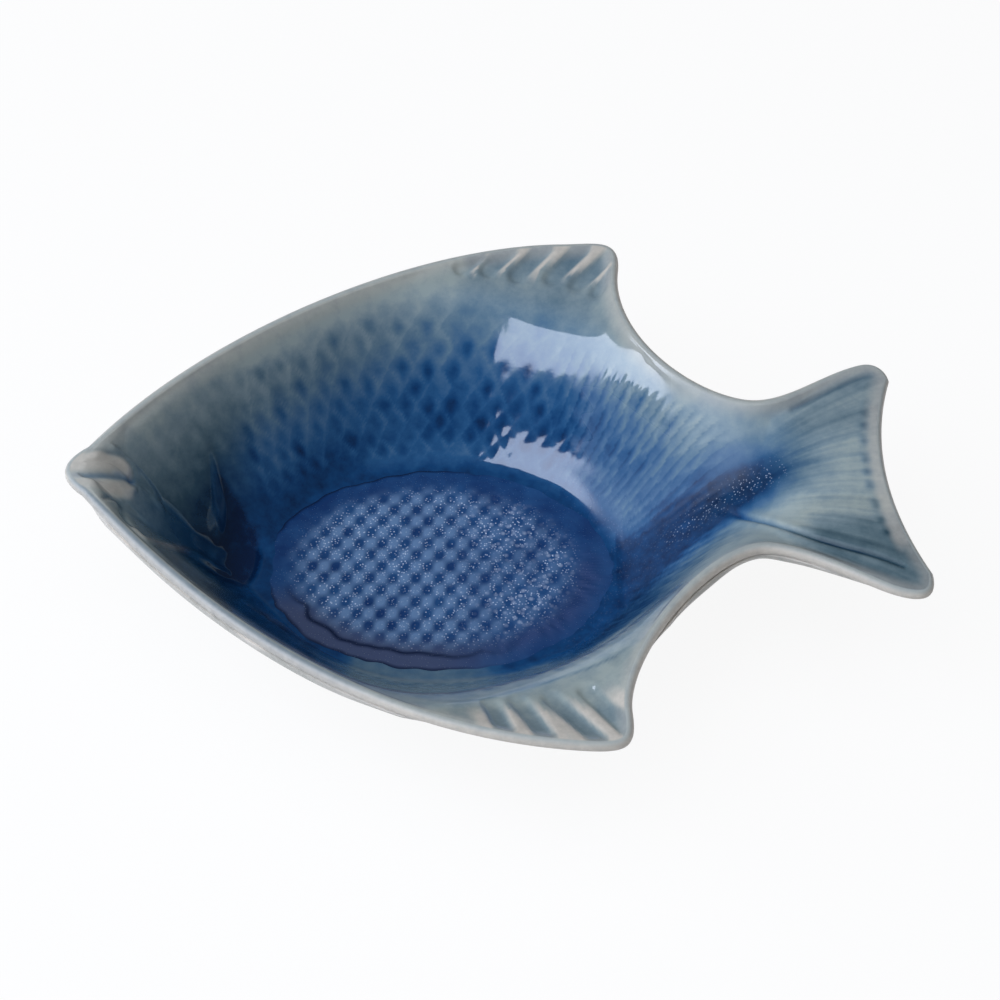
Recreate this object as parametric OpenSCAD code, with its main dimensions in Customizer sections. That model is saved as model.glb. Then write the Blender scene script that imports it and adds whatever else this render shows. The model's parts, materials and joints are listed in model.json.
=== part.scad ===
// Deep serving dish in the shape of a fish: one stoneware casting with a glass coat inside and out.
// Frame: +X from nose to tail, +Y to the back fin, +Z up. The origin is on the table, mid-length.

/* [Overall] */
// Length from the nose to the end of the longer tail lobe
overall_length = 255; // [235:1:280]
// Width over the two fin tips
fin_span = 203.5; // [185:0.5:225]
// Height from the table to the crest of the glazed lip
overall_height = 52.5; // [44:0.5:62]

/* [Fins and neck] */
// From the nose to the place where the fin tips start to round over
nose_to_fin = 151.5; // [142:0.5:162]
// Length of the rounded fin tip on the back side
back_fin_tip = 18; // [13:0.5:24]
// Length of the rounded fin tip on the belly side
belly_fin_tip = 14; // [11:0.5:21]
// Drop of the outline across a rounded fin tip
fin_tip_drop = 12.5; // [9:0.5:17]
// Width of the narrow neck in front of the tail
neck_width = 62; // [52:1:74]
// From the middle of the neck to the end of the longer tail lobe
neck_to_tail = 49; // [43:0.5:56]

/* [Tail] */
// Width over the two tail lobes
tail_span = 92.5; // [82:0.5:106]
// From the widest place of the tail back to its end
lobe_length = 12.3; // [9:0.1:16]
// Drop of the outline around a lobe
lobe_drop = 7; // [5:0.5:10]
// Depth of the hollow in the end of the tail
tail_notch = 8.8; // [4:0.2:13]
// How much further the belly lobe reaches than the back lobe
lobe_lead = 3.2; // [0:0.2:5]

/* [Mouth] */
// Width of the mouth between its corners
mouth_width = 19; // [15:0.5:24]
// Bulge of the mouth in front of its corners
mouth_depth = 6; // [4:0.5:8]
// Depth of the groove that parts the lips
mouth_groove = 1.2; // [0:0.1:1.6]

/* [Hollow] */
// From the nose to the middle of the flat floor
nose_to_floor = 111.8; // [104:0.2:120]
// Length of the flat oval floor
floor_length = 114.5; // [98:0.5:122]
// Width of the flat oval floor
floor_width = 86; // [70:0.5:94]
// From the middle line to the upper edge of the bowl, where the bowl is widest
bowl_half = 86; // [80:0.5:92]
// From the nose to the widest place of the bowl
nose_to_bowl = 100; // [92:0.5:108]
// How much nearer the middle line the edge of the bowl is 60 mm behind that place
bowl_taper = 23; // [18:0.5:28]
// How far the edge of the bowl lies below the lip under the fins
fin_drop = 9; // [6:0.5:12]

/* [Clay] */
// Thickness of the clay in the walls and the floor
wall = 4.5; // [3.6:0.1:6]
// Thickness of the clay in the lip, to which the wall thins out
lip_width = 2.6; // [2.2:0.1:3.4]
// Height of the foot ring
foot_height = 2; // [1.4:0.1:4]
// Width of the foot ring
foot_width = 6; // [4:0.5:9]
// From the edge of the floor in to the foot ring
foot_inset = 8; // [7:0.5:12]
// Height of the fin ribs over the grooves beside them
rib_height = 1.2; // [0:0.1:1.8]

/* [Glaze] */
// Thickness of the glass coat on the walls and under the dish
glaze = 0.5; // [0.3:0.05:0.7]
// Depth of the glass that ran down and pooled on the floor
pool_depth = 0.8; // [0.4:0.1:1.6]
// From the edge of the flat floor in to the edge of the pool
pool_inset = 2.5; // [2:0.1:5]
// Bare clay left beside the foot ring
bare_band = 1; // [0.5:0.1:2]

/* [Hidden] */

nose_x = -overall_length / 2;
tail_x = overall_length / 2;
notch_x = tail_x - tail_notch;
fin_x = nose_x + nose_to_fin;
neck_x = tail_x - neck_to_tail;
floor_x = nose_x + nose_to_floor;
floor_z = foot_height + wall;
floor_a = floor_length / 2;
floor_b = floor_width / 2;

// The lip is a full round: its middle lies inside the outline
lip = lip_width / 2;
lip_z = overall_height - glaze - lip;
lip_start = 120;
lip_turns = [120, 75, 30, -15, -60];
rim_in = lip + glaze - lip * cos(lip_start);
rim_z = lip_z + lip * sin(lip_start);

// Spans along one edge: nose to fin, fin up to its tip, round the tip, fin to neck, neck to lobe, lobe
fin_from = 0.85;
spans = [11, 12, 12, 9, 6, 4];
rows = 54;
rib_spans = 4;
rib_from = 11;
rib_to = 35;
// Columns on one half: across the floor, up the bowl, then over the fin to the lip
floor_cols = 3;
wall_cols = 6;
fin_cols = 3;
half = floor_cols + wall_cols + fin_cols;
cols = 2 * half;
keel_half = 5;
rim_band = 4;
rim_drop = 3.4;
fin_fade = 28;
cove = 0.22;
crown_run = 0.60;
crown_rise = 0.55;

function bez(a, b, c, d, t) =
    a * pow(1 - t, 3) + b * 3 * t * pow(1 - t, 2) + c * 3 * t * t * (1 - t) + d * pow(t, 3);
function mix(a, b, w) = a + (b - a) * w;
function ease(w) = let (k = min(1, max(0, w))) k * k * (3 - 2 * k);
function way(h) = [cos(h), sin(h)];
function unit(v) = v / norm(v);

// Knots of one edge as [x, distance from the middle, heading, reach before, reach after].
// Side 0 is the back and side 1 the belly; a reach is a share of the straight way to the next knot.
function edge_knots(s) = [
    [nose_x + mouth_depth, mouth_width / 2, [58, 52][s], 0.33, [0.34, 0.40][s]],
    [fin_x, fin_span / 2, [1, 4][s], [0.28, 0.32][s], [0.47, 0.66][s]],
    [fin_x + [back_fin_tip, belly_fin_tip][s], fin_span / 2 - fin_tip_drop, [-97, -94][s],
        [0.75, 0.60][s], [0.42, 0.27][s]],
    [neck_x, neck_width / 2, [-11, -9][s], [0.26, 0.23][s], [0.29, 0.25][s]],
    [tail_x - lobe_length, tail_span / 2, [18, 22][s], [0.34, 0.20][s], [0.48, 0.53][s]],
    [tail_x - [lobe_lead, 0][s], tail_span / 2 - lobe_drop, [-86, -94][s], [0.44, 0.70][s], 0.33]];

function edge_at(s, j, t) =
    let (k = edge_knots(s), a = k[j], b = k[j + 1], p = [a[0], a[1]], q = [b[0], b[1]], c = norm(q - p),
         e = bez(p, p + way(a[2]) * a[4] * c, q - way(b[2]) * b[3] * c, q, t))
    s == 0 ? e : [e[0], -e[1]];

// Where each row meets the edges: [knot span, share of it]
marks = concat(
    [for (i = [0 : spans[0] - 1]) [0, fin_from * i / spans[0]]],
    [for (i = [0 : spans[1] - 1]) [0, fin_from + (1 - fin_from) * i / spans[1]]],
    [for (j = [1 : 4]) for (i = [0 : spans[j + 1] - 1]) [j, i / spans[j + 1]]],
    [[4, 1]]);
// How full a row is: [its shoulder, most between fin and neck; its upper wall, most along the fins]
full = [for (m = marks) [for (w = [[2.35, 0.55], [1.8, 0.9]]) exp(-pow((m[0] + m[1] - w[0]) / w[1], 2))]];
back = [for (m = marks) edge_at(0, m[0], m[1])];
belly = [for (m = marks) edge_at(1, m[0], m[1])];

// The middle line is shared out by the length of the edges, so the rows sweep back towards the fins
run = [for (i = 0, d = 0; i <= rows;
    d = d + (i < rows ? norm(back[i + 1] - back[i]) + norm(belly[i + 1] - belly[i]) : 0), i = i + 1) d];
share = run / run[rows];
spine = [for (w = share) mix(nose_x, notch_x, w)];

// A point of a row between its two edges, t from -1 at the belly to 1 at the back
function across(a, b, mid, t) =
    let (p = mix(a, b, (t + 1) / 2), m = (a[0] + b[0]) / 2) [p[0] + (mid - m) * (1 - t * t), p[1]];

// Keel height along the middle line: level over the floor, up to the rim at nose and tail
head_end = floor_x - floor_a;
tail_end = floor_x + floor_a;
function keel_z(x) =
    x < head_end ? mix(floor_z, rim_z, keel_rise((head_end - x) / (head_end - nose_x - rim_in), 2.2, 2.5)) :
    x > tail_end ? mix(floor_z, rim_z, keel_rise((x - tail_end) / (notch_x - rim_in - tail_end), 1.3, 2.6)) :
    floor_z;
function keel_rise(w, start, finish) = 1 - pow(max(0, 1 - pow(min(1, w), start)), finish);

// Half width of the bowl at its upper edge; from the neck on it is bounded by the lip alone
bowl_x = nose_x + nose_to_bowl;
function bowl_at(x) = x > neck_x ? fin_span :
    max(neck_width / 2 - rim_band, bowl_half - bowl_taper * pow(max(0, x - bowl_x) / 60, 1.6));

// Share of a row that is floor: where the swept row crosses the floor oval
function floor_share(mid, edge_x, edge_y, y = 0, n = 5) =
    let (t = min(1, y / edge_y), x = mix(mid, edge_x, t * t),
         h = floor_b * sqrt(max(0, 1 - pow((x - floor_x) / floor_a, 2))))
    n == 0 ? max(keel_half, y) / max(edge_y, keel_half * 2) :
        floor_share(mid, edge_x, edge_y, n == 5 ? h : (y + h) / 2, n - 1);

// Share of a row that is bowl: where it crosses the upper edge, short of the lip
function bowl_share(mid, edge_x, edge_y, t = 1, n = 14) =
    let (most = max(0.6, 1 - rim_band / edge_y), next = bowl_at(mix(mid, edge_x, t * t)) / edge_y)
    n == 0 ? min(most, t) : bowl_share(mid, edge_x, edge_y, min(1, (t + next) / 2), n - 1);

// A row as [share of floor, share of bowl, height of the keel, height of the bowl's edge]
function row(a, b, mid, x) =
    let (e = (a[0] + b[0]) / 2, y = (b[1] - a[1]) / 2, f = floor_share(mid, e, y), w = bowl_share(mid, e, y),
         low = keel_z(x), drop = mix(rim_drop, fin_drop, ease((y * (1 - w) - rim_band) / fin_fade)))
    [min(f, w - 0.1), w, low, rim_z - min(drop, 0.35 * (rim_z - low))];

// Columns of a row as [t, height, share of the fin], from the belly edge to the back edge
function columns(r, k) = [for (j = [-half : half])
    let (n = abs(j), q = min(1, max(0, n - floor_cols) / wall_cols),
         v = max(0, n - floor_cols - wall_cols) / fin_cols,
         over = bez(0, cove + 0.2 * k[0], crown_run + 0.1 * k[0], 1, q),
         up = bez(0, 0, crown_rise + 0.12 * k[1], 1, q))
    [sign(j) * (n <= floor_cols ? r[0] * n / floor_cols :
            v > 0 ? mix(r[1], 1, v) : mix(r[0], r[1], over)),
        v > 0 ? mix(r[3], rim_z, v) : mix(r[2], r[3], up), v]];

middle = [for (w = share) mix(nose_x + rim_in, notch_x - rim_in, w)];
cells = [for (i = [0 : rows]) columns(row(belly[i], back[i], spine[i], middle[i]), full[i])];

// Sheets are grids of points [row][column]; a loop is the way round the border of a sheet
function loop(g) = concat(
    [for (j = [0 : cols - 1]) g[0][j]], [for (i = [0 : rows - 1]) g[i][cols]],
    [for (j = [cols : -1 : 1]) g[rows][j]], [for (i = [rows : -1 : 1]) g[i][0]]);
count = 2 * (rows + cols);
function place(i, j) =
    i == 0 && j < cols ? j : j == cols && i < rows ? cols + i :
    i == rows && j > 0 ? cols + rows + cols - j : 2 * cols + rows + rows - i;

// Outline of the glazed lip and the way out of the dish along it
outline = loop([for (i = [0 : rows]) [for (c = cells[i]) across(belly[i], back[i], spine[i], c[0])]]);
out = [for (k = [0 : count - 1])
    let (d = unit(outline[(k + 1) % count] - outline[(k + count - 1) % count])) [-d[1], d[0]]];
function lip_ring(turn, r) = [for (k = [0 : count - 1])
    let (p = outline[k] + out[k] * (r * cos(turn) - lip - glaze)) [p[0], p[1], lip_z + r * sin(turn)]];

// Smooth face of the clay inside the dish
rim = lip_ring(lip_start, lip);
function flat(p) = [p[0], p[1]];
function face_point(i, j) =
    let (p = across(flat(rim[place(i, 0)]), flat(rim[place(i, cols)]), middle[i], cells[i][j][0]))
    [p[0], p[1], cells[i][j][1]];
function border(i, j) = i == 0 || i == rows || j == 0 || j == cols;
face = [for (i = [0 : rows]) [for (j = [0 : cols]) border(i, j) ? rim[place(i, j)] : face_point(i, j)]];
function floor_cell(i, j) =
    abs(j - half) <= floor_cols && keel_z(middle[i]) == floor_z;
function normal(i, j) = floor_cell(i, j) ? [0, 0, 1] :
    unit(cross(face[min(rows, i + 1)][j] - face[max(0, i - 1)][j],
        face[i][min(cols, j + 1)] - face[i][max(0, j - 1)]));
normals = [for (i = [0 : rows]) [for (j = [0 : cols]) normal(i, j)]];

// Relief pressed into the clay: ribs that fan over the fins, and the groove between the lips
function ribs(i, j) = i < rib_from || i > rib_to ? 0 :
    -rib_height * (1 + cos(360 * (i - rib_from) / rib_spans)) / 2 * ease(cells[i][j][2] * 2);
function groove(i, j) = -mouth_groove * (abs(j - half) == 0 ? 1 : 0) * ease((4 - i) / 3);
pressed = [for (i = [0 : rows]) [for (j = [0 : cols])
    face[i][j] + (border(i, j) ? [0, 0, 0] : [0, 0, ribs(i, j) + groove(i, j)])]];

// Sheets beside that face; their borders are taken from the lip
function beside(g, d, ring) = [for (i = [0 : rows]) [for (j = [0 : cols])
    border(i, j) ? ring[place(i, j)] : g[i][j] + normals[i][j] * d]];
// The wall thins out over the fin, or over the last few millimetres, to the thickness of the lip
function below(more, ring) = [for (i = [0 : rows]) [for (j = [0 : cols])
    border(i, j) ? ring[place(i, j)] :
        face[i][j] - normals[i][j] * (mix(wall, lip_width, pow(cells[i][j][2], 2)) + more)]];
glazed = beside(pressed, glaze, lip_ring(lip_start, lip + glaze));
under = below(0, lip_ring(-60, lip));
under_glazed = below(glaze, lip_ring(-60, lip + glaze));

// Closed skin: a sheet that faces up, the rings round its border, and a sheet that faces down
module skin(top, rings, bottom) {
    size = (rows + 1) * (cols + 1);
    deep = len(rings);
    function at(i, j) = i * (cols + 1) + j;
    top_loop = loop([for (i = [0 : rows]) [for (j = [0 : cols]) at(i, j)]]);
    turns = concat([top_loop],
        [for (r = [0 : 1 : deep - 1]) [for (k = [0 : count - 1]) size + r * count + k]],
        [[for (k = top_loop) size + deep * count + k]]);
    low = size + deep * count;
    polyhedron(
        points = concat([for (g = top) each g], [for (r = rings) each r], [for (g = bottom) each g]),
        faces = concat(
            [for (i = [0 : rows - 1]) for (j = [0 : cols - 1])
                each quad(at(i, j), at(i, j + 1), at(i + 1, j + 1), at(i + 1, j), j < half)],
            [for (r = [0 : deep]) for (k = [0 : count - 1]) let (n = (k + 1) % count)
                each quad(turns[r][k], turns[r + 1][k], turns[r + 1][n], turns[r][n], true)],
            [for (i = [0 : rows - 1]) for (j = [0 : cols - 1])
                let (k = low + at(i, j)) each quad(k, k + cols + 1, k + cols + 2, k + 1, j < half)]));
}
function quad(a, b, c, d, first) = first ? [[a, b, c], [a, c, d]] : [[a, b, d], [b, c, d]];

// Oval drawn in from the edge of the flat floor
module oval(inset) {
    polygon([for (a = [0 : 5 : 355]) [floor_x + (floor_a - inset) * cos(a), (floor_b - inset) * sin(a)]]);
}

module foot(grow, low, high) {
    translate([0, 0, low]) linear_extrude(high - low) difference() {
        oval(foot_inset - grow);
        oval(foot_inset + foot_width + grow);
    }
}

module clay_body() color([0.78, 0.70, 0.58]) union() {
    skin(pressed, [for (n = [1 : 3]) lip_ring(lip_turns[n], lip)], under);
    foot(0, 0, foot_height + 1);
}

module inner_glaze() color([0.42, 0.52, 0.62])
    skin(glazed, concat([for (n = [1 : 3]) lip_ring(lip_turns[n], lip + glaze)],
        [for (n = [3 : -1 : 1]) lip_ring(lip_turns[n], lip)]), pressed);

module outer_glaze() color([0.52, 0.60, 0.64]) difference() {
    skin(under, [lip_ring(lip_turns[3], lip), lip_ring(lip_turns[3], lip + glaze)], under_glazed);
    foot(bare_band, foot_height - glaze - 1, foot_height + 0.2);
}

module glaze_pool() color([0.55, 0.60, 0.70])
    translate([0, 0, floor_z + glaze]) linear_extrude(pool_depth) oval(pool_inset);

clay_body();
inner_glaze();
outer_glaze();
glaze_pool();
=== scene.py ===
# %% [markdown]
# # A fish dish in blue running glaze
# The real object is one pressed stoneware body under three layers of glass: a coat inside that wraps
# the lip, a coat outside, and the glass that ran down the walls and set as a pool on the floor.
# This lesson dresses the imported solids: each layer is modelled from a primitive, shaped, and given
# the glaze that the fire left on it.

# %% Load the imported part
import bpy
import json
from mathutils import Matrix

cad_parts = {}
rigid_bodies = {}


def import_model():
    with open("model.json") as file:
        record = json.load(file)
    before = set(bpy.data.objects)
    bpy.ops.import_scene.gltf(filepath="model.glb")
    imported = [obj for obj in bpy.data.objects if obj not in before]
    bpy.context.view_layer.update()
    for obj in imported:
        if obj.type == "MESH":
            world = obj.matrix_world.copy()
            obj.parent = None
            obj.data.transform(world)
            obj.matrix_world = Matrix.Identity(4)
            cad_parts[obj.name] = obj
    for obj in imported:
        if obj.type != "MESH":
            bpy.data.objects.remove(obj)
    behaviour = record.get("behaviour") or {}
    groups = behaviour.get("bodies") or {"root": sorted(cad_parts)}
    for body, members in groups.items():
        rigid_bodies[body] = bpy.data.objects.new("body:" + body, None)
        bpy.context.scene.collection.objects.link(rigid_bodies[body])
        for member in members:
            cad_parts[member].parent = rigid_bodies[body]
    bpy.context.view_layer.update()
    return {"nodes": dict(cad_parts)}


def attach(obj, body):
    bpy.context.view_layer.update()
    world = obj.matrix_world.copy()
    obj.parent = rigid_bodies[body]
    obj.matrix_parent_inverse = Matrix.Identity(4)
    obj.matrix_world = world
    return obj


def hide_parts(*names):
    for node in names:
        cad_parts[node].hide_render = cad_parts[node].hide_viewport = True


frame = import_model()

import json
import math
import bpy
import numpy as np
from mathutils import Matrix, Vector
from mathutils.kdtree import KDTree

print("solids:", sorted(frame["nodes"]))

# %% [markdown]
# ## Camera
# The photograph looks down on the dish from the belly side. Turn, tilt, roll and focal length were
# solved from the outline of the lip, so they are written here as plain numbers for a square picture
# of 1000 pixels. A camera could be aimed with a constraint, but a matrix keeps the roll exact.

# %% Camera
tilt, turn, roll = (math.radians(a) for a in (48.05, -1.98, 1.748))
focal_pixels, distance, aside, above = 2361.7, 0.74526, 0.00345, 0.02592
back = Vector((math.sin(turn) * math.cos(tilt), -math.cos(turn) * math.cos(tilt), math.sin(tilt)))
level = Vector((math.cos(turn), math.sin(turn), 0))
rise = back.cross(level)
right = math.cos(roll) * level + math.sin(roll) * rise
up = math.cos(roll) * rise - math.sin(roll) * level

bpy.ops.object.select_all(action="DESELECT")
bpy.ops.object.camera_add()
camera = bpy.context.object
camera.name = "photo_camera"
camera.matrix_world = (Matrix.Translation(right * aside + up * above + back * distance)
                       @ Matrix((right, up, back)).transposed().to_4x4())
camera.data.sensor_width = 36
camera.data.lens = 36 * focal_pixels / 1000
camera.data.clip_start = 0.01
bpy.context.scene.camera = camera
print("camera at", [round(c, 3) for c in camera.location], "lens", round(camera.data.lens, 1), "mm")

# %% [markdown]
# ## The form of the dish
# A fish dish is pressed over a mould: a flat oval floor, a wall that sweeps up to the bowl's edge, two
# flat fins, a tail, and one rounded lip all the way round. It could be sculpted, but the solids were
# built from a few named sizes, so the same sizes in millimetres give a finer copy of the same form.

# %% Sizes in millimetres
overall_length, fin_span, overall_height = 255.0, 203.5, 52.5
nose_x, tail_x = -overall_length / 2, overall_length / 2
fin_x, neck_x, notch_x = nose_x + 151.5, tail_x - 49, tail_x - 8.8
floor_x, floor_a, floor_b = nose_x + 111.8, 57.25, 43.0
wall, glaze = 4.5, 0.5
foot_height, foot_width, foot_inset = 2.0, 6, 8
floor_z = foot_height + wall
lip = 2.6 / 2
lip_z = overall_height - glaze - lip
# degrees round the lip: where the face ends, where the inner coat ends, and the seam with the outer coat
lip_start, coat_end, seam = 120, -24, -60
lip_skin, clay_lip = lip + glaze - 0.12, lip - 0.4
bowl_side, bowl_taper, rim_band = 86, 23, 4
rim_drop, fin_drop = 3.4, 9.0
rim_in = lip + glaze - lip * math.cos(math.radians(lip_start))
rim_z = lip_z + lip * math.sin(math.radians(lip_start))
print("floor at", floor_z, "mm, lip at", round(lip_z, 2), "mm")


# %% Curves that the mould is drawn with
def curve(a, b, c, d, t):
    return a * (1 - t) ** 3 + b * 3 * t * (1 - t) ** 2 + c * 3 * t * t * (1 - t) + d * t ** 3


def mix(a, b, share):
    return a + (b - a) * share


def ease(share):
    k = np.clip(share, 0, 1)
    return k * k * (3 - 2 * k)


def soften(values, spread, ends="edge"):
    reach = int(3 * spread) + 1
    weight = np.exp(-0.5 * (np.arange(-reach, reach + 1) / spread) ** 2)
    return np.convolve(np.pad(values, reach, mode=ends), weight / weight.sum(), mode="valid")


# Knots along one edge: x, half width, heading, reach before, reach after; first the back, then the belly
edge_knots = [
    [[nose_x + 6, 9.5, 58, 0.33, 0.34], [fin_x, fin_span / 2, 1, 0.28, 0.47],
     [fin_x + 18, fin_span / 2 - 12.5, -97, 0.75, 0.42], [neck_x, 31, -11, 0.26, 0.29],
     [tail_x - 12.3, 46.25, 18, 0.34, 0.48], [tail_x - 3.2, 39.25, -86, 0.44, 0.33]],
    [[nose_x + 6, 9.5, 52, 0.33, 0.40], [fin_x, fin_span / 2, 4, 0.32, 0.66],
     [fin_x + 14, fin_span / 2 - 12.5, -94, 0.60, 0.27], [neck_x, 31, -9, 0.23, 0.25],
     [tail_x - 12.3, 46.25, 22, 0.20, 0.53], [tail_x, 39.25, -94, 0.70, 0.33]]]


def edge_points(side, mark):
    knots = edge_knots[side]
    points = np.zeros((len(mark), 2))
    snout = mix(1, 0.3, np.clip(-mark, 0, 1))
    points[mark < 0] = np.column_stack([nose_x + 6 * snout ** 2, 9.5 * snout])[mark < 0]
    for n in range(5):
        part = (mark >= n) & ((mark < n + 1) | (n == 4))
        a, b = knots[n], knots[n + 1]
        reach = math.hypot(b[0] - a[0], b[1] - a[1])
        for axis, turned in ((0, math.cos), (1, math.sin)):
            points[part, axis] = curve(
                a[axis], a[axis] + turned(math.radians(a[2])) * a[4] * reach,
                b[axis] - turned(math.radians(b[2])) * b[3] * reach, b[axis], mark[part] - n)
    return points * [1, -1] if side else points


fine_marks = np.linspace(-1, 5, 3001)
steps = sum(np.linalg.norm(np.diff(edge_points(s, fine_marks), axis=0), axis=1) for s in (0, 1)) / 2
edge_run = np.concatenate([[0], np.cumsum(steps)])
snout_run = edge_run[500]
print("one edge from snout to tail is", round(edge_run[-1], 1), "mm long")


# %% Floor, wall and fins of one row
def keel_height(x):
    head_end, tail_end = floor_x - floor_a, floor_x + floor_a
    to_nose = np.clip((head_end - x) / (head_end - nose_x - rim_in), 0, 1)
    to_tail = np.clip((x - tail_end) / (notch_x - rim_in - tail_end), 0, 1)
    rise = np.where(x < floor_x, 1 - (1 - to_nose ** 2.2) ** 2.5, 1 - (1 - to_tail ** 1.3) ** 2.6)
    return mix(floor_z, rim_z, rise)


def bowl_half(x):
    edge = bowl_side - bowl_taper * (np.maximum(0, x - nose_x - 100) / 60) ** 1.6
    return np.where(x > neck_x, fin_span, np.maximum(27, edge))


def floor_share(middle, edge_x, edge_y):
    y = np.zeros_like(middle)
    for n in range(5):
        x = mix(middle, edge_x, np.minimum(1, y / edge_y) ** 2)
        h = floor_b * np.sqrt(np.maximum(0, 1 - ((x - floor_x) / floor_a) ** 2))
        y = h if n == 0 else (y + h) / 2
    return np.maximum(5, y) / np.maximum(edge_y, 10)


def bowl_share(middle, edge_x, edge_y):
    share = np.ones_like(middle)
    for _ in range(14):
        share = np.minimum(1, (share + bowl_half(mix(middle, edge_x, share ** 2)) / edge_y) / 2)
    return np.minimum(np.maximum(0.6, 1 - rim_band / edge_y), share)


def across(belly, back, middle, t):
    w = (t + 1) / 2
    x, y = (belly[:, k:k + 1] + (back[:, k:k + 1] - belly[:, k:k + 1]) * w for k in (0, 1))
    bow = middle - (belly[:, 0] + back[:, 0]) / 2
    return np.stack([x + bow[:, None] * (1 - t * t), y], -1)


# %% Border of the grid and its way out
def border_of(rows, cols):
    there = [(0, j) for j in range(cols)] + [(i, cols) for i in range(rows)]
    back_again = [(rows, j) for j in range(cols, 0, -1)] + [(i, 0) for i in range(rows, 0, -1)]
    return tuple(np.array(there + back_again).T)


# The way out from the outline is softened over about 2 mm, so that the lip turns without a kink
def outward(outline, samples=3000):
    ahead = np.roll(outline, -1, 0) - outline
    gap = np.linalg.norm(ahead, axis=1)[:, None] ** 2
    d = ahead / gap + np.roll(ahead / gap, 1, 0)
    d /= np.linalg.norm(d, axis=1)[:, None]
    round_mm = np.concatenate([[0], np.cumsum(np.sqrt(gap[:, 0]))])
    even = np.linspace(0, round_mm[-1], samples, endpoint=False)
    for k in (0, 1):
        turned = np.interp(even, round_mm, np.append(d[:, k], d[0, k]))
        level = soften(turned, 2.2 * samples / round_mm[-1], "wrap")
        d[:, k] = np.interp(round_mm[:-1], even, level)
    d /= np.linalg.norm(d, axis=1)[:, None]
    return np.stack([-d[:, 1], d[:, 0]], -1)


def nearest_in(points):
    tree = KDTree(len(points))
    for k, point in enumerate(points):
        tree.insert(point, k)
    tree.balance()
    return tree


def inset_from(outline, face):
    tree = nearest_in([(*point, 0) for point in outline])
    flat = face.reshape(-1, 3) * [1, 1, 0]
    return np.array([tree.find(point)[2] for point in flat]).reshape(face.shape[:2])


print("a grid of 4 by 6 cells has", len(border_of(4, 6)[0]), "border points")


# %% The whole form as a grid of rows and columns
class Form:
    pass


def dish_form(rows, floor_cols, wall_cols, fin_cols):
    f = Form()
    share = np.linspace(0, 1, rows + 1)
    run_mm = share * edge_run[-1]
    f.mark = np.interp(run_mm, edge_run, fine_marks)
    back, belly = edge_points(0, f.mark), edge_points(1, f.mark)
    along = (run_mm - snout_run * ease(run_mm / 70)) / (edge_run[-1] - snout_run)
    spine = mix(nose_x, notch_x, along)
    middle = mix(nose_x + rim_in, notch_x - rim_in, along)
    edge_x, edge_y = (back[:, 0] + belly[:, 0]) / 2, (back[:, 1] - belly[:, 1]) / 2
    bowl = bowl_share(spine, edge_x, edge_y)
    flat = soften(np.minimum(floor_share(spine, edge_x, edge_y), bowl - 0.1), rows / 45)
    low = keel_height(middle)
    drop = mix(rim_drop, fin_drop, ease((edge_y * (1 - bowl) - rim_band) / 28))
    high = rim_z - np.minimum(drop, 0.35 * (rim_z - low))
    half = floor_cols + wall_cols + fin_cols
    step = np.arange(-half, half + 1)
    count, side = np.abs(step), np.sign(step)
    up_wall = np.clip((count - floor_cols) / wall_cols, 0, 1)
    over_fin = np.maximum(0, count - floor_cols - wall_cols) / fin_cols
    full, upper = (np.exp(-((f.mark - at) / wide) ** 2)[:, None] for at, wide in ((2.35, 0.55), (1.8, 0.9)))
    t = np.where(count <= floor_cols, flat[:, None] * count / floor_cols, np.where(
        over_fin > 0, mix(bowl[:, None], 1, over_fin),
        mix(flat[:, None], bowl[:, None], curve(0, 0.22 + 0.2 * full, 0.60 + 0.1 * full, 1, up_wall)))) * side
    z = np.where(over_fin > 0, mix(high[:, None], rim_z, over_fin),
                 mix(low[:, None], high[:, None], curve(0, 0, 0.55 + 0.12 * upper, 1, up_wall)))
    plan = across(belly, back, spine, t)
    R, C = rows, 2 * half
    f.border = border_of(R, C)
    f.outline = plan[f.border]
    f.out = outward(f.outline)
    edge = np.zeros((R + 1, C + 1, 2))
    edge[f.border] = lip_ring(f, lip_start, lip)[:, :2]
    face = np.concatenate([across(edge[:, 0], edge[:, -1], middle, t), z[..., None]], -1)
    for end, away in ((0, run_mm / 6), (R, run_mm[::-1] / 14)):
        face[..., :2] += (edge[end] - face[end, :, :2]) * np.exp(-away ** 2)[:, None, None]
    past_wall = (count - floor_cols - wall_cols) / (0.2 * wall_cols)
    crown = (np.exp(-past_wall ** 2) * ease(2 - 2 * over_fin))[:, None]
    face = mix(face, np.apply_along_axis(soften, 1, face, 0.1 * wall_cols), crown)
    once = np.apply_along_axis(soften, 0, face, rows / 15)
    twice = np.apply_along_axis(soften, 0, once, rows / 15)
    wall_part = (ease(3 * up_wall) * (1 - ease(1.25 * over_fin)))[:, None]
    inland = (ease((share - 0.02) / 0.1) * (1 - ease((f.mark - 2.45) / 0.4)))[:, None, None]
    face = mix(face, 2 * once - twice, wall_part * inland)
    face[f.border] = lip_ring(f, lip_start, lip)
    f.inset = inset_from(f.outline, face)
    f.face, f.rows, f.cols = face, R, C
    f.up_wall, f.over_fin = (np.broadcast_to(a, t.shape) for a in (up_wall, over_fin))
    f.mark = np.broadcast_to(f.mark[:, None], t.shape)
    n = np.cross(np.gradient(face, axis=0), np.gradient(face, axis=1))
    f.normal = n / np.linalg.norm(n, axis=-1, keepdims=True)
    f.normal *= np.sign(f.normal[..., 2:])
    return f


def lip_ring(f, turn, radius):
    a = np.broadcast_to(np.radians(turn), len(f.outline))
    plan = f.outline + f.out * (radius * np.cos(a) - lip - glaze)[:, None]
    return np.column_stack([plan, lip_z + radius * np.sin(a)])


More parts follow.
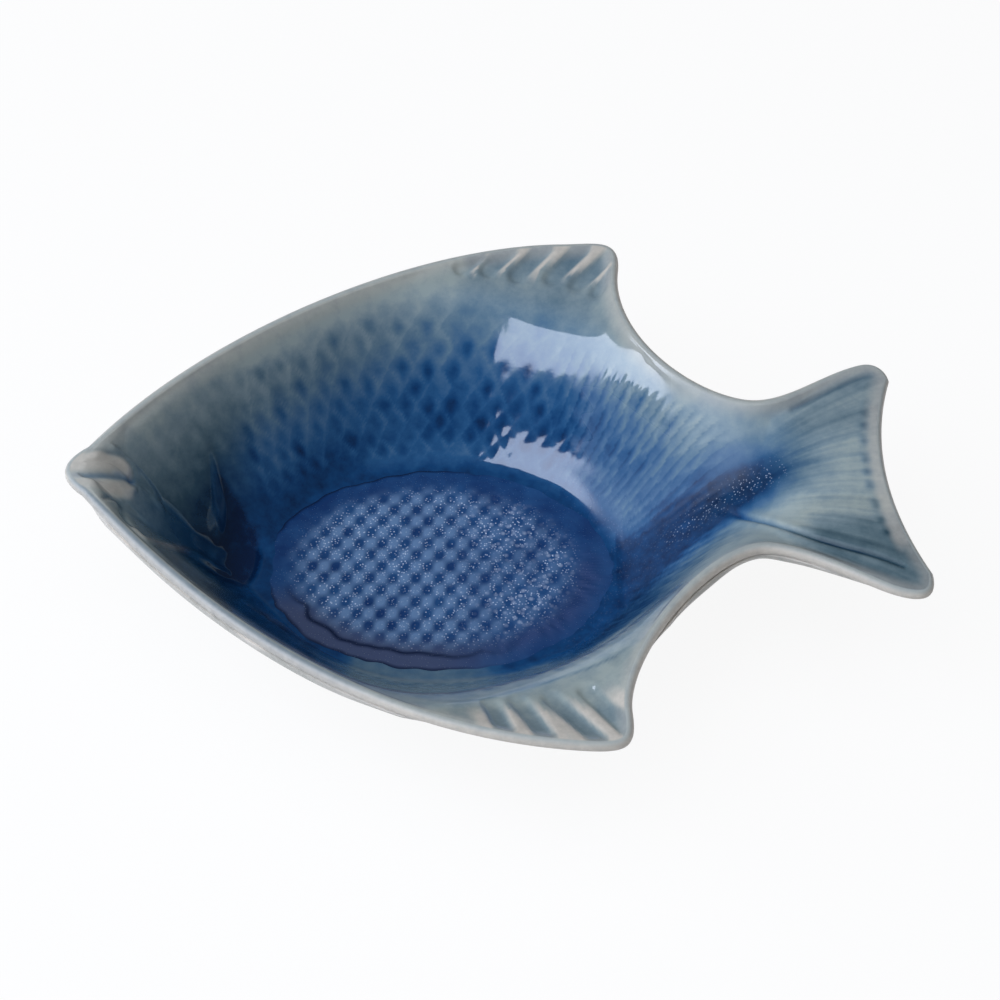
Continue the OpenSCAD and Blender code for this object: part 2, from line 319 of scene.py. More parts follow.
# Where the face is nearly level the lip begins nearer its crest, so that face and lip meet without a crease
def lip_begin(f):
    n = f.normal[f.border]
    lean = np.degrees(np.arctan2(-(n[:, :2] * f.out).sum(1), n[:, 2]))
    return 90 + soften(np.clip(lean, 6, 30), 6, "wrap")


coat = dish_form(400, 8, 62, 20)
lining = dish_form(100, 4, 14, 5)
begin = lip_begin(coat)
print("fine grid", coat.face.shape[:2], "and coarse grid", lining.face.shape[:2])

# %% [markdown]
# ## Relief in the mould
# The mould is carved: ribs fan over the fins, two lips part at the mouth, a gill cover lifts behind
# the cheek, and scales ring the bowl in staggered rows. Bump could fake this in one view, but the
# glass breaks over real edges, so the relief is cut into the grid itself, along drawn lines.


# %% Drawn lines and their distance from each point
def drawn(points, steps=6):
    p = np.array(points, float)
    p = np.vstack([2 * p[0] - p[1], p, 2 * p[-1] - p[-2]])
    t = np.linspace(0, 1, steps, endpoint=False)[:, None]
    spans = [0.5 * (2 * p[k] + (p[k + 1] - p[k - 1]) * t
                    + (2 * p[k - 1] - 5 * p[k] + 4 * p[k + 1] - p[k + 2]) * t ** 2
                    + (3 * p[k] - p[k - 1] - 3 * p[k + 1] + p[k + 2]) * t ** 3)
             for k in range(1, len(p) - 2)]
    return np.vstack(spans + [p[-2:-1]])


def beside(x, y, line):
    best, side, way = np.full(x.shape, 1e9), np.zeros(x.shape), np.zeros(x.shape)
    run = np.concatenate([[0], np.cumsum(np.linalg.norm(np.diff(line, axis=0), axis=1))])
    for k in range(len(line) - 1):
        (px, py), (dx, dy) = line[k], line[k + 1] - line[k]
        w = np.clip(((x - px) * dx + (y - py) * dy) / (dx * dx + dy * dy), 0, 1)
        ex, ey = x - px - w * dx, y - py - w * dy
        off = np.hypot(ex, ey)
        near = off < best
        best[near] = off[near]
        side[near] = np.sign(dx * ey - dy * ex)[near]
        way[near] = mix(run[k], run[k + 1], w)[near] / run[-1]
    return best, side, way


def hump(off, width):
    return np.exp(-(off / width) ** 2)


mouth_line = drawn([(-127, -3), (-124.3, -3), (-120.3, -2.2), (-116.6, -0.3), (-113.7, 1.6), (-111.5, 3.6),
                    (-109.4, 4.6)])
upper_lip_line = drawn([(-121.5, 6.2), (-118.5, 7.6), (-115.5, 8.4), (-111.8, 9.9), (-109.6, 8.5),
                        (-109.1, 4.7)])
lip_fold_line = drawn([(-117.9, -3), (-115.2, -2.6), (-112.2, -1.2), (-110.6, 0.7), (-109.2, 2.9)])
lip_back_line = drawn([(-113, 11.5), (-109.7, 11.1), (-105.9, 10), (-102.8, 8.3), (-101.3, 5.5)])
lower_lip_line = drawn([(-115.1, -11.5), (-112.9, -7), (-110.7, -8.4), (-109.4, -14.4), (-106.1, -21)])
jaw_line = drawn([(-106.1, -21), (-102, -25), (-99.4, -16.8), (-96.1, -8.4), (-92.3, -4.5), (-88.1, -3.6),
                  (-82, -4.5)])
gill_line = drawn([(-88, 43), (-87.5, 30.5), (-85.3, 25.8), (-83.1, 21.6), (-79.3, 17.8), (-76.2, 13.5),
                   (-73.4, 6.3), (-73.7, -0.5), (-76.1, -7.5), (-80.1, -19.6), (-84, -34)])
cheek_line = drawn([(-87, 30.4), (-86.2, 24.2), (-85.3, 18.7), (-83.8, 13.1), (-83.2, 7.2), (-83.6, -0.4),
                    (-87.4, -10.4)])
tail_crease = drawn([(70, 1.5), (73.1, -2.2), (80.2, -11.4), (91.2, -21.5), (100.3, -27.5), (112.7, -33.5),
                     (119, -37)])
tail_valley = drawn([(44, -0.5), (58.9, 2.2), (70.1, 4.2), (82.1, 5.6), (93.2, 7.5), (106, 9)])
tail_fold = drawn([(93, 28.4), (96.8, 30.3), (105.1, 34.5), (113.3, 39), (119, 41.2)])
fin_crease_shade = drawn([(-15, -84.4), (-6.8, -82.7), (1.6, -78.7), (10.1, -74.5), (18.6, -71.6), (27.1, -68.8),
                  (35.5, -66.4), (42.5, -63)])
print("the gill line has", len(gill_line), "points and the jaw line", len(jaw_line))

# %% Scales and ribs
x, y, z = np.moveaxis(coat.face, -1, 0)
ring_out = np.hypot((x - floor_x) / floor_a, y / floor_b)
bearing = np.arctan2(y / floor_b, (x - floor_x) / floor_a)
height_share = (z - floor_z) / (rim_z - floor_z)

# scales round the bowl in rows that widen as they climb, each row half a scale on from the last
scales = 66
scale_round, scale_up = scales * bearing / (2 * math.pi), np.log(np.maximum(ring_out, 0.3)) / 0.062
one, other = scale_round + scale_up / 2, scale_round - scale_up / 2
pit = np.abs(np.sin(math.pi * one) * np.sin(math.pi * other))
pit_up, pit_round = np.mod(one, 1) - np.mod(other, 1), np.mod(one, 1) + np.mod(other, 1) - 1

gill_off, gill_side, _ = beside(x, y, gill_line)
behind_gill = gill_off * gill_side
head = ease((-70 - x) / 20)
# two numbers from 0 to 1 that look random but are fixed for each scale
chance, tone = (np.mod(np.sin(np.floor(one) * p + np.floor(other) * q) * 437.585, 1)
                for p, q in ((12.9, 78.2), (39.3, 11.1)))
scaly = (ease((ring_out - 1.05) / 0.07) * (1 - ease((coat.up_wall - 0.88) / 0.12)) * (coat.over_fin == 0)
         * np.where(x < -60, ease((behind_gill - 7) / 6), 1) * (1 - ease((x - 62) / 18)))
pit_size = mix(1.0, 1.9, ease((height_share - 0.3) / 0.5))
teardrop = pit ** pit_size * (1 - 0.45 * pit_up - 0.3 * pit_round)
scale_relief = scaly * (mix(0.07, 0.04, ease((height_share - 0.2) / 0.5)) * (0.35 - teardrop)
                        + 0.06 * np.sin(4 * math.pi * scale_round) * ease((x - 20) / 20))

fin_grooves = [[(-4, 95.5), (-9, 91)], [(6.5, 98), (-0.5, 91)], [(18.3, 99.3), (9, 89.5)],
               [(30.5, 99.3), (20.3, 88.8)], [(39.6, 96), (28.6, 86)], [(41.6, 88), (35.5, 82.5)],
               [(2.6, -96.5), (-1.2, -83)], [(14, -98.5), (6.6, -82)], [(28, -99), (16, -81)],
               [(36.3, -95.5), (26.2, -79)]]
rib_groove = np.zeros_like(x)
groove_off, groove_way = np.full_like(x, 99.0), np.ones_like(x)
for line in fin_grooves:
    off, _, way = beside(x, y, np.array(line, float))
    rib_groove = np.maximum(rib_groove, ease((3.7 - off) / 2.3))
    groove_way = np.where(off < groove_off, way, groove_way)
    groove_off = np.minimum(groove_off, off)
on_fin = (1 - ease((groove_off - 5) / 4)) * ease(coat.over_fin * 3)
rib_groove *= ease(coat.over_fin * 3 - 0.2)
print("scales reach", round(float(scaly.max()), 2), "and the fins have", len(fin_grooves), "grooves")

# %% Mouth, gill cover and tail
mouth_off, mouth_side, _ = beside(x, y, mouth_line)
lip_off, lip_side, _ = beside(x, y, upper_lip_line)
back_off, back_side, _ = beside(x, y, lip_back_line)
low_off, jaw_off, lip_fold_off, fold_off = (
    beside(x, y, line)[0] for line in (lower_lip_line, jaw_line, lip_fold_line, tail_fold))
cheek_off, cheek_side, _ = beside(x, y, cheek_line)
crease_off, _, crease_way = beside(x, y, tail_crease)
valley_off, _, valley_way = beside(x, y, tail_valley)
fin_crease_shade_off, _, fin_crease_shade_way = beside(x, y, fin_crease_shade)

gill_fade = ease((34 - y) / 14) * ease((y + 30) / 16) * (x < -55)
behind_cheek = cheek_off * cheek_side
recess = ease(0.5 - behind_gill / 5) * ease(0.5 + behind_cheek / 5) * ease((-66 - x) / 4)
recess *= ease((33 - y) / 14) * ease((y + 10) / 6)
cheek = hump(x + 89.4 - 0.1 * (y - 11), 3.2) * hump(y - 12, 11)
fan = np.arctan2(y, x - 52) * 180 / math.pi
on_tail = ease((x - 82) / 16)
streaks = (np.sin(fan * 0.9 + 0.4) + 0.8 * np.sin(fan * 1.7 + 2.2 + 0.05 * x)
           + 0.6 * np.sin(fan * 2.9 + np.sin(fan * 0.4))
           + 0.4 * np.sin(fan * 5.3 + 1) * np.sin(0.2 * x + 0.3 * fan)) / 2
edge_mm = x - 112.2 - 0.004 * (y - 2) ** 2
tail_edge = np.clip(edge_mm / 3, 0, 1)
beads = tail_edge * (0.5 + 0.5 * np.cos(2 * math.pi * y / 5.2)) * ease((36 - np.abs(y)) / 6)
print("beads on the tail rise to", round(float(beads.max()), 2))

# %% The sheet that follows the relief, in millimetres
relief = (scale_relief
          - 0.8 * hump(mouth_off, 1.5) + 0.35 * hump(mouth_off - 3.2, 1.8) * (x < -108)
          - 0.3 * hump(lip_fold_off, 0.7)
          - 0.5 * hump(lip_off, 0.8) - 0.6 * hump(low_off, 0.9) + 0.5 * hump(jaw_off, 1.5)
          + 0.5 * hump(back_off - 1.5, 1.5) * (back_side < 0)
          + gill_fade * (0.3 * hump(behind_gill - 4, 3.5) - 0.35 * hump(gill_off, 2.2))
          - 0.6 * recess + 0.4 * cheek
          - 0.8 * hump(crease_off, 0.9) * ease(crease_way * 6) + 0.35 * hump(crease_off - 2, 1.6)
          - 0.35 * hump(fold_off, 1.0)
          + on_tail * 0.07 * streaks + 0.45 * beads)
relief = np.maximum(relief, -1.1) * ease((coat.inset - rim_in) / 3)
lower_fin = np.zeros_like(coat.face)
lower_fin[..., 2] = -1.2 * rib_groove * ease((coat.inset - rim_in) / 2)
at_edge = np.zeros_like(x)
at_edge[coat.border] = (lip_start - begin) / 24 * 0.3
half_way = coat.cols // 2
lift = np.where(np.arange(coat.cols + 1) > half_way, at_edge[:, -1:], at_edge[:, :1])
lower_fin[..., 2] += lift * (1 - ease((coat.inset - rim_in) / 7))
sheet = coat.face + coat.normal * (glaze + relief)[..., None] + lower_fin
sheet[..., 2] = np.minimum(sheet[..., 2], lip_z + lip_skin)
sheet[coat.border] = lip_ring(coat, begin, lip_skin)
print("relief from", round(relief.min(), 2), "to", round(relief.max(), 2), "mm")

# %% [markdown]
# ## The coat inside
# The inner glaze is a skin of glass half a millimetre thick that follows the relief, wraps the lip and
# ends under its outer edge. It starts as a grid primitive; its border is extruded ring by ring round
# the lip, and a second grid closes it against the clay, so the coat is one closed, thin piece.


# %% Helpers for shaping
def place(piece, points, which=None):
    count = len(piece.data.vertices)
    all_points = np.zeros(count * 3)
    piece.data.vertices.foreach_get("co", all_points)
    all_points = all_points.reshape(-1, 3)
    all_points[slice(None) if which is None else which] = np.asarray(points).reshape(-1, 3) / 1000
    piece.data.vertices.foreach_set("co", all_points.ravel())
    piece.data.update()


def points_of(piece):
    found = np.zeros(len(piece.data.vertices) * 3)
    piece.data.vertices.foreach_get("co", found)
    return found.reshape(-1, 3) * 1000


def grid_piece(name, rows, cols, points):
    bpy.ops.object.select_all(action="DESELECT")
    bpy.ops.mesh.primitive_grid_add(x_subdivisions=rows, y_subdivisions=cols, size=2)
    piece = bpy.context.object
    piece.name = piece.data.name = name
    at = points_of(piece) / 1000
    i = np.rint((at[:, 0] + 1) / 2 * rows).astype(int)
    j = np.rint((at[:, 1] + 1) / 2 * cols).astype(int)
    place(piece, points[i, j])
    index = np.zeros((rows + 1, cols + 1), int)
    index[i, j] = np.arange(len(at))
    return piece, index


def select_points(piece, which):
    mesh = piece.data
    for part in (mesh.polygons, mesh.edges, mesh.vertices):
        part.foreach_set("select", np.zeros(len(part), bool))
    chosen = np.zeros(len(mesh.vertices), bool)
    chosen[which] = True
    mesh.vertices.foreach_set("select", chosen)
    bpy.context.tool_settings.mesh_select_mode = (True, False, False)


def extrude_ring(piece, ring, target):
    before = len(piece.data.vertices)
    tree = nearest_in(points_of(piece)[ring])
    select_points(piece, ring)
    bpy.ops.object.mode_set(mode="EDIT")
    bpy.ops.mesh.extrude_edges_indiv()
    bpy.ops.object.mode_set(mode="OBJECT")
    fresh = np.arange(before, len(piece.data.vertices))
    order = np.array([tree.find(point)[1] for point in points_of(piece)[fresh]])
    grown = np.zeros(len(ring), int)
    grown[order] = fresh
    place(piece, target, grown)
    return grown


def bridge_open_edges():
    bpy.ops.object.mode_set(mode="EDIT")
    bpy.ops.mesh.select_mode(type="EDGE")
    bpy.ops.mesh.select_all(action="DESELECT")
    bpy.ops.mesh.select_non_manifold(extend=False, use_wire=False, use_boundary=True, use_multi_face=False,
                                     use_non_contiguous=False, use_verts=False)
    bpy.ops.mesh.bridge_edge_loops()
    bpy.ops.mesh.select_all(action="SELECT")
    bpy.ops.mesh.normals_make_consistent(inside=False)
    bpy.ops.object.mode_set(mode="OBJECT")


def close_with(piece, lower):
    bpy.ops.object.select_all(action="DESELECT")
    lower.select_set(True)
    piece.select_set(True)
    bpy.context.view_layer.objects.active = piece
    bpy.ops.object.join()
    bridge_open_edges()
    bpy.ops.object.shade_smooth_by_angle(angle=math.radians(60))


def flip(piece):
    bpy.ops.object.mode_set(mode="EDIT")
    bpy.ops.mesh.select_all(action="SELECT")
    bpy.ops.mesh.flip_normals()
    bpy.ops.object.mode_set(mode="OBJECT")


# %% Inner coat
inner_glaze, inner_index = grid_piece("inner_glaze_coat", coat.rows, coat.cols, sheet)
ring = inner_index[coat.border]
lip_rings = []
for part in (0.12, 0.25, 0.4, 0.55, 0.7, 0.85, 1.0):
    ring = extrude_ring(inner_glaze, ring, lip_ring(coat, mix(begin, coat_end, part), lip_skin))
    lip_rings.append((part, ring))
for angle in (coat_end, 48, lip_start):
    ring = extrude_ring(inner_glaze, ring, lip_ring(coat, angle, lip))


# Where the mould is carved deep the clay under the coat lies lower, so that the glass never meets it
def sunk(f, depth):
    fx = f.face[..., 0]
    carved = np.maximum(ease(f.over_fin * 3) * ((f.mark > 0.55) & (f.mark < 2.1)), ease((-66 - fx) / 8))
    inward = ease((f.inset - rim_in) / 5)
    points = f.face + f.normal * (-depth * inward - 1.2 * carved * inward)[..., None]
    points[f.border] = lip_ring(f, lip_start, lip - 0.3)
    return points


under, _ = grid_piece("inner_glaze_under", lining.rows, lining.cols, sunk(lining, 0.3))
flip(under)
close_with(inner_glaze, under)
print("inner coat:", len(inner_glaze.data.vertices), "points,", len(inner_glaze.data.loop_triangles), "triangles")

# %% [markdown]
# ## How thick the glass lies
# Running glaze tells its depth by colour: over the lip and the ribs it breaks to the cream of the
# clay, on the upper walls it is a thin grey green, and it darkens to blue where it gathered. Five
# numbers per point hold this: run (how deep, and in places painted shade), worn (how much cream), smoke (blue or
# grey), frost (crystals) and satin (how dull). They could be painted by hand, but a rule follows the form
# wherever it changes.

# %% Depth by height and side
def by_height(heights, depths):
    return np.interp(height_share, heights, depths)


run = by_height([0, 0.12, 0.35, 0.6, 0.8, 0.92, 1], [0.88, 0.88, 0.76, 0.56, 0.34, 0.18, 0.06])
head_run = by_height([0.1, 0.35, 0.5, 0.75, 0.9, 1], [0.95, 0.8, 0.6, 0.28, 0.13, 0.05])
jaw_run = by_height([0, 0.1, 0.3, 0.5, 0.75, 1], [0.95, 0.8, 0.34, 0.08, 0.02, 0])
near_run = by_height([0, 0.02, 0.05, 0.1, 0.35, 0.7, 1], [0.88, 0.76, 0.48, 0.32, 0.14, 0.08, 0.02])

# the near wall is dark behind the jaw and pale at its foot further on
near = ease((-y - 5) / 15)
dark_left = ease((-38 - x + 4 * np.sin(0.3 * z)) / 24) * (1 - ease((height_share - 0.45) / 0.5))
near_foot = ease((x + 46) / 6) * (1 - ease((x + 8) / 15)) * (1 - ease(height_share / 0.12))
near_run = mix(near_run, 0.9, dark_left) - 0.4 * near_foot

# thinner to the left, under the far lip, on the right wall, on the near side of the neck, beside the pool
run -= 0.12 * ease((10 - x) / 80) * ease((height_share - 0.1) / 0.2)
run -= 0.12 * ease((height_share - 0.8) / 0.1) * ease((0 - x) / 20)
run -= 0.1 * ease((x - 30) / 15) * ease((y - 5) / 10) * (1 - ease((x - 60) / 10))
run -= 0.22 * ease((x - 47) / 10) * ease((-y - 2) / 8) * (1 - ease((x - 90) / 10))
run -= 0.2 * hump(ring_out - 1.12, 0.1) * ease((x + 50) / 20) * (y > 0)
run = mix(run, near_run, near * (1 - ease((x - mix(10, 35, ease(height_share * 2))) / 20)))
run = mix(run, mix(head_run, jaw_run, near), head)
print("by height the glass runs from", round(run.min(), 2), "to", round(run.max(), 2))

# %% Depth by relief, and painted shade
# glass gathers in each scale, in runs down the wall, in the valley of the tail and in every groove; shade is
# painted across the scales and ripples, in the gill recess and along the fin's near crease
drips = np.sin(23 * bearing + 2 * np.sin(7 * bearing)) * np.sin(41 * bearing + 1.3 + 3 * height_share)
to_tail = ease((x - 15) / 15)
# painted shade: on the right wall each ripple is painted lighter on one side and darker on the other
painted_ripple_shade = (2 * np.mod(scale_round, 0.5) - 0.5) * to_tail
low_wall = 1 - 0.4 * (1 - ease((height_share - 0.15) / 0.25))
gathered = (0.05 + 0.27 * chance) * teardrop * (1 - 0.45 * to_tail) * low_wall
# glass gathers in each pit and its tone differs at random; the last term is painted shade, each scale darker on
# one side
run += scaly * (gathered - 0.06 + 0.2 * painted_ripple_shade + 0.14 * (tone - 0.5) * pit ** 0.3 + 0.06 * pit_round)
run += 0.05 * drips * ease((ring_out - 1.05) / 0.2)
run += 0.85 * hump(valley_off, 9) * (1 - ease((valley_way - 0.45) / 0.6)) * (x > 40)
# the gill recess is darker partly from glass gathered in it and partly as painted shade under the cheek's back
# edge
run += 0.38 * recess + 0.06 * cheek + 0.26 * hump(mouth_off, 1.7) + 0.12 * hump(lip_fold_off, 0.6)
run += on_tail * (0.07 * streaks + 0.34 * ease((-y - 13) / 10) + 0.14 * ease((y - 12) / 10))
run += 0.35 * hump(crease_off, 0.8) * ease(crease_way * 6) + 0.25 * hump(fold_off, 1.2)
run += 0.19 * rib_groove * (1 - 0.8 * ease((groove_way - 0.5) / 0.5))
run += 0.2 * hump(lip_off, 0.6) + 0.2 * hump(low_off, 0.7)
print("with the relief it runs from", round(run.min(), 2), "to", round(run.max(), 2))

# %% Where the glass broke to cream
worn = mix(0.4, 0.3, near) * (1 - ease((coat.inset - 2) / mix(5, 4, near)))
rib_tops = on_fin * (1 - ease(rib_groove * 1.5)) * (1 - ease((groove_way - 0.5) / 0.5))
on_lips = np.where(mouth_side > 0, ease(0.4 - lip_off * lip_side / 2), ease((8 - mouth_off) / 3))
on_lips *= ease((-107.5 - x) / 2.5)
snout = on_lips * (1 - 0.9 * hump(mouth_off, 1.7)) * (1 - 0.3 * hump(np.hypot(x + 119, y + 8), 3.5))
scallops = (hump(edge_mm - 0.6, 1.3) * (0.5 + 0.5 * np.cos(2 * math.pi * y / 6.2 + np.sin(0.3 * y)))
            * ease((32 - np.abs(y)) / 8))
tail_rim = 0.45 * ease(edge_mm / 3) * (1 - scallops) * ease((34 - np.abs(y)) / 8)
jaw_edge = 0.5 * hump(jaw_off, 1.4) * ease((height_share - 0.25) / 0.3)
for bare in (0.85 * rib_tops, 0.72 * snout, jaw_edge, tail_rim):
    worn = np.maximum(worn, bare)
run += 0.28 * scallops - 0.35 * snout
run = np.minimum(run, mix(1, 0.92, ease((x - 10) / 20)))
# painted shade: a darker line along the near crease where the bowl turns to the fin
run += 0.22 * hump(fin_crease_shade_off, 0.7) * ease(fin_crease_shade_way * 5) * ease((1 - fin_crease_shade_way) * 5)
print("cream over", round(100 * float((worn > 0.3).mean()), 1), "% of the points")

# %% Smoke, frost and satin
smoke = mix(0.65 * ease((20 - x) / 110) * ease((height_share - 0.35) / 0.4), 0.9, head)
smoke += on_tail * (0.5 + 0.5 * ease((-y - 5) / 10) + 0.3 * ease((y - 12) / 12))
smoke += near * (0.45 * ease(height_share / 0.1) * (1 - head) + 0.5 * near_foot)
smoke += 0.4 * hump(valley_off, 8) * ease((x - 60) / 10) * (1 - on_tail) - 0.6 * hump(mouth_off, 2) * (x < -108)
smoke += 0.7 * ease(coat.over_fin * 2) * (np.abs(y) > 40) * (1 - ease((x - 50) / 10))
frost = (ease((1.35 - ring_out) / 0.3) * ease((x - 10) / 25) * 0.08
         + 0.7 * hump(valley_off, 4) * ease((x - 50) / 10) * (1 - ease((x - 84) / 10)))
dull_wall = ease((x - 25 - 2 * np.sin(40 * height_share)) / 12) * (1 - ease((height_share - 0.58) / 0.2))
satin = np.maximum(ease((x - 52) / 8), dull_wall)
print("smoke up to", round(smoke.max(), 2), "and satin on",
      round(100 * float((satin > 0.5).mean())), "% of the points")


# %% Keep the five numbers on the piece
def keep_number(piece, name, default, parts):
    values = np.full(len(piece.data.vertices), default, np.float32)
    for which, numbers in parts:
        values[which] = numbers
    layer = piece.data.attributes.new(name, "FLOAT", "POINT")
    layer.data.foreach_set("value", values)


flat_index = inner_index.ravel()
# painted shade: towards the near left, on the lamp side, the lip is painted darker (more glass, less cream)
painted_shade_lamp_side = ease((-25 - coat.outline[:, 0]) / 30) * ease(-coat.outline[:, 1] / 15)
on_lip = {"run": 0.05 + 0.3 * painted_shade_lamp_side, "smoke": 0.6, "frost": 0.0, "satin": 0.85}
coat_numbers = {"run": run, "worn": worn, "smoke": smoke, "frost": frost, "satin": satin}
for name, numbers in coat_numbers.items():
    rings = [(which, on_lip.get(name, (0.3 + 0.6 * ease((part - 0.2) / 0.45)) * (1 - 0.25 * painted_shade_lamp_side)))
             for part, which in lip_rings]
    keep_number(inner_glaze, name, 0.5, [(flat_index, np.clip(numbers, 0, 1).ravel())] + rings)
print("kept on the coat:", [a.name for a in inner_glaze.data.attributes if a.data_type == "FLOAT"])

# %% [markdown]
# ## The pool on the floor
# Glass ran down and set as a shallow pool with a rounded edge. The floor under it is cut in a diamond
# lattice that still shows as raised dots, and as the pool cooled, white crystals grew in it. A grid
# is drawn into an oval, raised dot by dot, and closed with a flat second grid underneath.

# %% Outline of the pool and the dots in it
pool_rows, pool_cols = 152, 112
pool_a, pool_b, pool_mean = 54.9, 41.2, 46
lattice_x, lattice_y = 7.2, 9.5
u, v = np.meshgrid(np.linspace(-1, 1, pool_rows + 1), np.linspace(-1, 1, pool_cols + 1), indexing="ij")
pool_u, pool_v = u * np.sqrt(1 - v * v / 2), v * np.sqrt(1 - u * u / 2)
pool_turn, pool_out = np.arctan2(pool_v, pool_u), np.hypot(pool_u, pool_v)
wobble = (1 + 0.008 * np.sin(5 * pool_turn + 1) + 0.006 * np.sin(11 * pool_turn + 2)
          + 0.005 * np.sin(23 * pool_turn + 2 * np.sin(4 * pool_turn))
          + 0.004 * np.sin(41 * pool_turn + np.sin(9 * pool_turn)))
pool_x = floor_x + pool_u * pool_a * wobble
pool_y = pool_v * pool_b * wobble
from_edge = (1 - pool_out) * pool_mean
down, climb = (2 * math.pi * ((pool_x - floor_x) / lattice_x + way * pool_y / lattice_y) for way in (1, -1))
dots = 0.5 + 0.21 * np.cos(down) + 0.29 * np.cos(climb)
in_lattice = 1 - ease((np.hypot((pool_x - floor_x + 1.5) / 48.5, (pool_y - 0.3) / 35.8) - 0.76) / 0.24)
to_right = ease((pool_u + 0.1) / 0.6)
near_left = ease((-pool_v - 0.1) / 0.4) * (1 - ease((pool_u + 0.1) / 0.6))
print("pool from", round(pool_x.min(), 1), "to", round(pool_x.max(), 1), "mm")

# %% Pool
meniscus = ease(from_edge / mix(3.5, 7, to_right) + 0.1)
bumps = np.sin(34 * pool_turn + np.sin(9 * pool_turn)) * hump(from_edge - 2.5, 1.5) * near_left
pool_top = floor_z + glaze - 0.05 + 0.4 * meniscus + 0.3 * dots * in_lattice + 0.08 * bumps
glaze_pool, pool_index = grid_piece("glaze_pool_lens", pool_rows, pool_cols,
                                    np.stack([pool_x, pool_y, pool_top], -1))
pool_base, _ = grid_piece("glaze_pool_base", pool_rows // 4, pool_cols // 4, np.stack(
    [floor_x + (pool_x[::4, ::4] - floor_x) * 0.996, pool_y[::4, ::4] * 0.996,
     np.full(pool_x[::4, ::4].shape, floor_z + glaze - 0.3)], -1))
flip(pool_base)
close_with(glaze_pool, pool_base)
print("pool:", len(glaze_pool.data.vertices), "points")

# %% Numbers for the look of the pool
inner_line = hump(from_edge - 6.2 - 0.9 * np.sin(13 * pool_turn + 2 * np.sin(5 * pool_turn)), 0.8) * near_left
spokes = (np.sin(57 * pool_turn + 3 * np.sin(13 * pool_turn) + 0.4 * from_edge) * hump(from_edge - 6, 5)
          * np.sin(91 * pool_turn + 2 * np.sin(7 * pool_turn) - 0.3 * from_edge))
purple_band = to_right * hump(from_edge - 8, 5) * ease((0.35 - pool_v) / 0.5)
pool_numbers = {"from_edge": from_edge, "dots": dots, "in_lattice": in_lattice, "to_right": to_right,
                "near_left": near_left, "inner_line": inner_line, "spokes": 0.5 + 0.5 * spokes,
                "purple_band": purple_band}
for name, numbers in pool_numbers.items():
    keep_number(glaze_pool, name, 0.0, [(pool_index.ravel(), numbers.ravel())])
print("kept on the pool:", list(pool_numbers))

# %% [markdown]
# ## The coat outside
# The outside was dipped too, up to the seam under the lip, and wiped off round the foot so that the
# dish would not stick in the kiln. The same form, pushed out through the wall, gives the sheet; a
# ring is cut from it where the clay is left bare.

# %% Outer coat
shell = dish_form(220, 8, 26, 8)


# Round the tight turn of the nose the pushed-out rows would fold, so they are relaxed there
def through_wall(f, more, radius):
    points = f.face - f.normal * (mix(wall, 2 * lip, f.over_fin ** 2) + more)[..., None]
    points[f.border] = lip_ring(f, seam, radius)
    at_nose = ease((nose_x + 16 - f.face[1:-1, 1:-1, :1]) / 8)
    for _ in range(12):
        around = (points[2:, 1:-1] + points[:-2, 1:-1] + points[1:-1, 2:] + points[1:-1, :-2]) / 4
        points[1:-1, 1:-1] = mix(points[1:-1, 1:-1], around, at_nose)
    return points


outer_glaze, outer_index = grid_piece("outer_glaze_coat", shell.rows, shell.cols,
                                      through_wall(shell, glaze, lip_skin))
flip(outer_glaze)
ring = outer_index[shell.border]
# up the lip under the edge of the inner coat, so that no clay shows between them, and back inside
for angle, radius in ((-45, lip_skin - 0.03), (-30, lip_skin - 0.05), (-10, lip_skin - 0.07),
                      (20, lip_skin - 0.1), (20, lip - 0.2), (-20, lip - 0.2), (-58, lip - 0.2)):
    ring = extrude_ring(outer_glaze, ring, lip_ring(shell, angle, radius))
backing, _ = grid_piece("outer_glaze_backing", lining.rows, lining.cols, through_wall(lining, -0.25, clay_lip))
close_with(outer_glaze, backing)
print("outer coat:", len(outer_glaze.data.vertices), "points")


# %% Oval rings for the foot and for the bare band
def oval_ring(name, profile, sides=144):
    bpy.ops.object.select_all(action="DESELECT")
    bpy.ops.mesh.primitive_circle_add(vertices=sides, radius=1, fill_type="NOTHING")
    piece = bpy.context.object
    piece.name = piece.data.name = name
    at = points_of(piece)
    ring = np.argsort(np.arctan2(at[:, 1], at[:, 0]))
    a = np.arctan2(at[ring, 1], at[ring, 0])

    def loop(inset, height):
        return np.column_stack([floor_x + (floor_a - inset) * np.cos(a), (floor_b - inset) * np.sin(a),
                                np.full(sides, height)])
    place(piece, loop(*profile[0]), ring)
    for inset, height in profile[1:]:
        ring = extrude_ring(piece, ring, loop(inset, height))
    bridge_open_edges()
    return piece


def combine(piece, tool, operation):
    bpy.ops.object.select_all(action="DESELECT")
    bpy.context.view_layer.objects.active = piece
    piece.select_set(True)
    step = piece.modifiers.new("combine", "BOOLEAN")
    step.operation, step.solver, step.object = operation, "EXACT", tool
    bpy.ops.object.modifier_apply(modifier=step.name)
    bpy.data.objects.remove(tool)


band_out, band_in = foot_inset - 1, foot_inset + foot_width + 1
bare_band = oval_ring("bare_band", [(band_out, 0.4), (band_out, 2.15), (band_in, 2.15), (band_in, 0.4)])
combine(outer_glaze, bare_band, "DIFFERENCE")
print("outer coat after the wipe:", len(outer_glaze.data.vertices), "points")

# %% [markdown]
# ## The clay body
# Under all the glass is one body of pale stoneware, and only its foot ring is ever seen. It is the
# same form once more, between the two coats, joined to an oval ring whose edges are rubbed round.

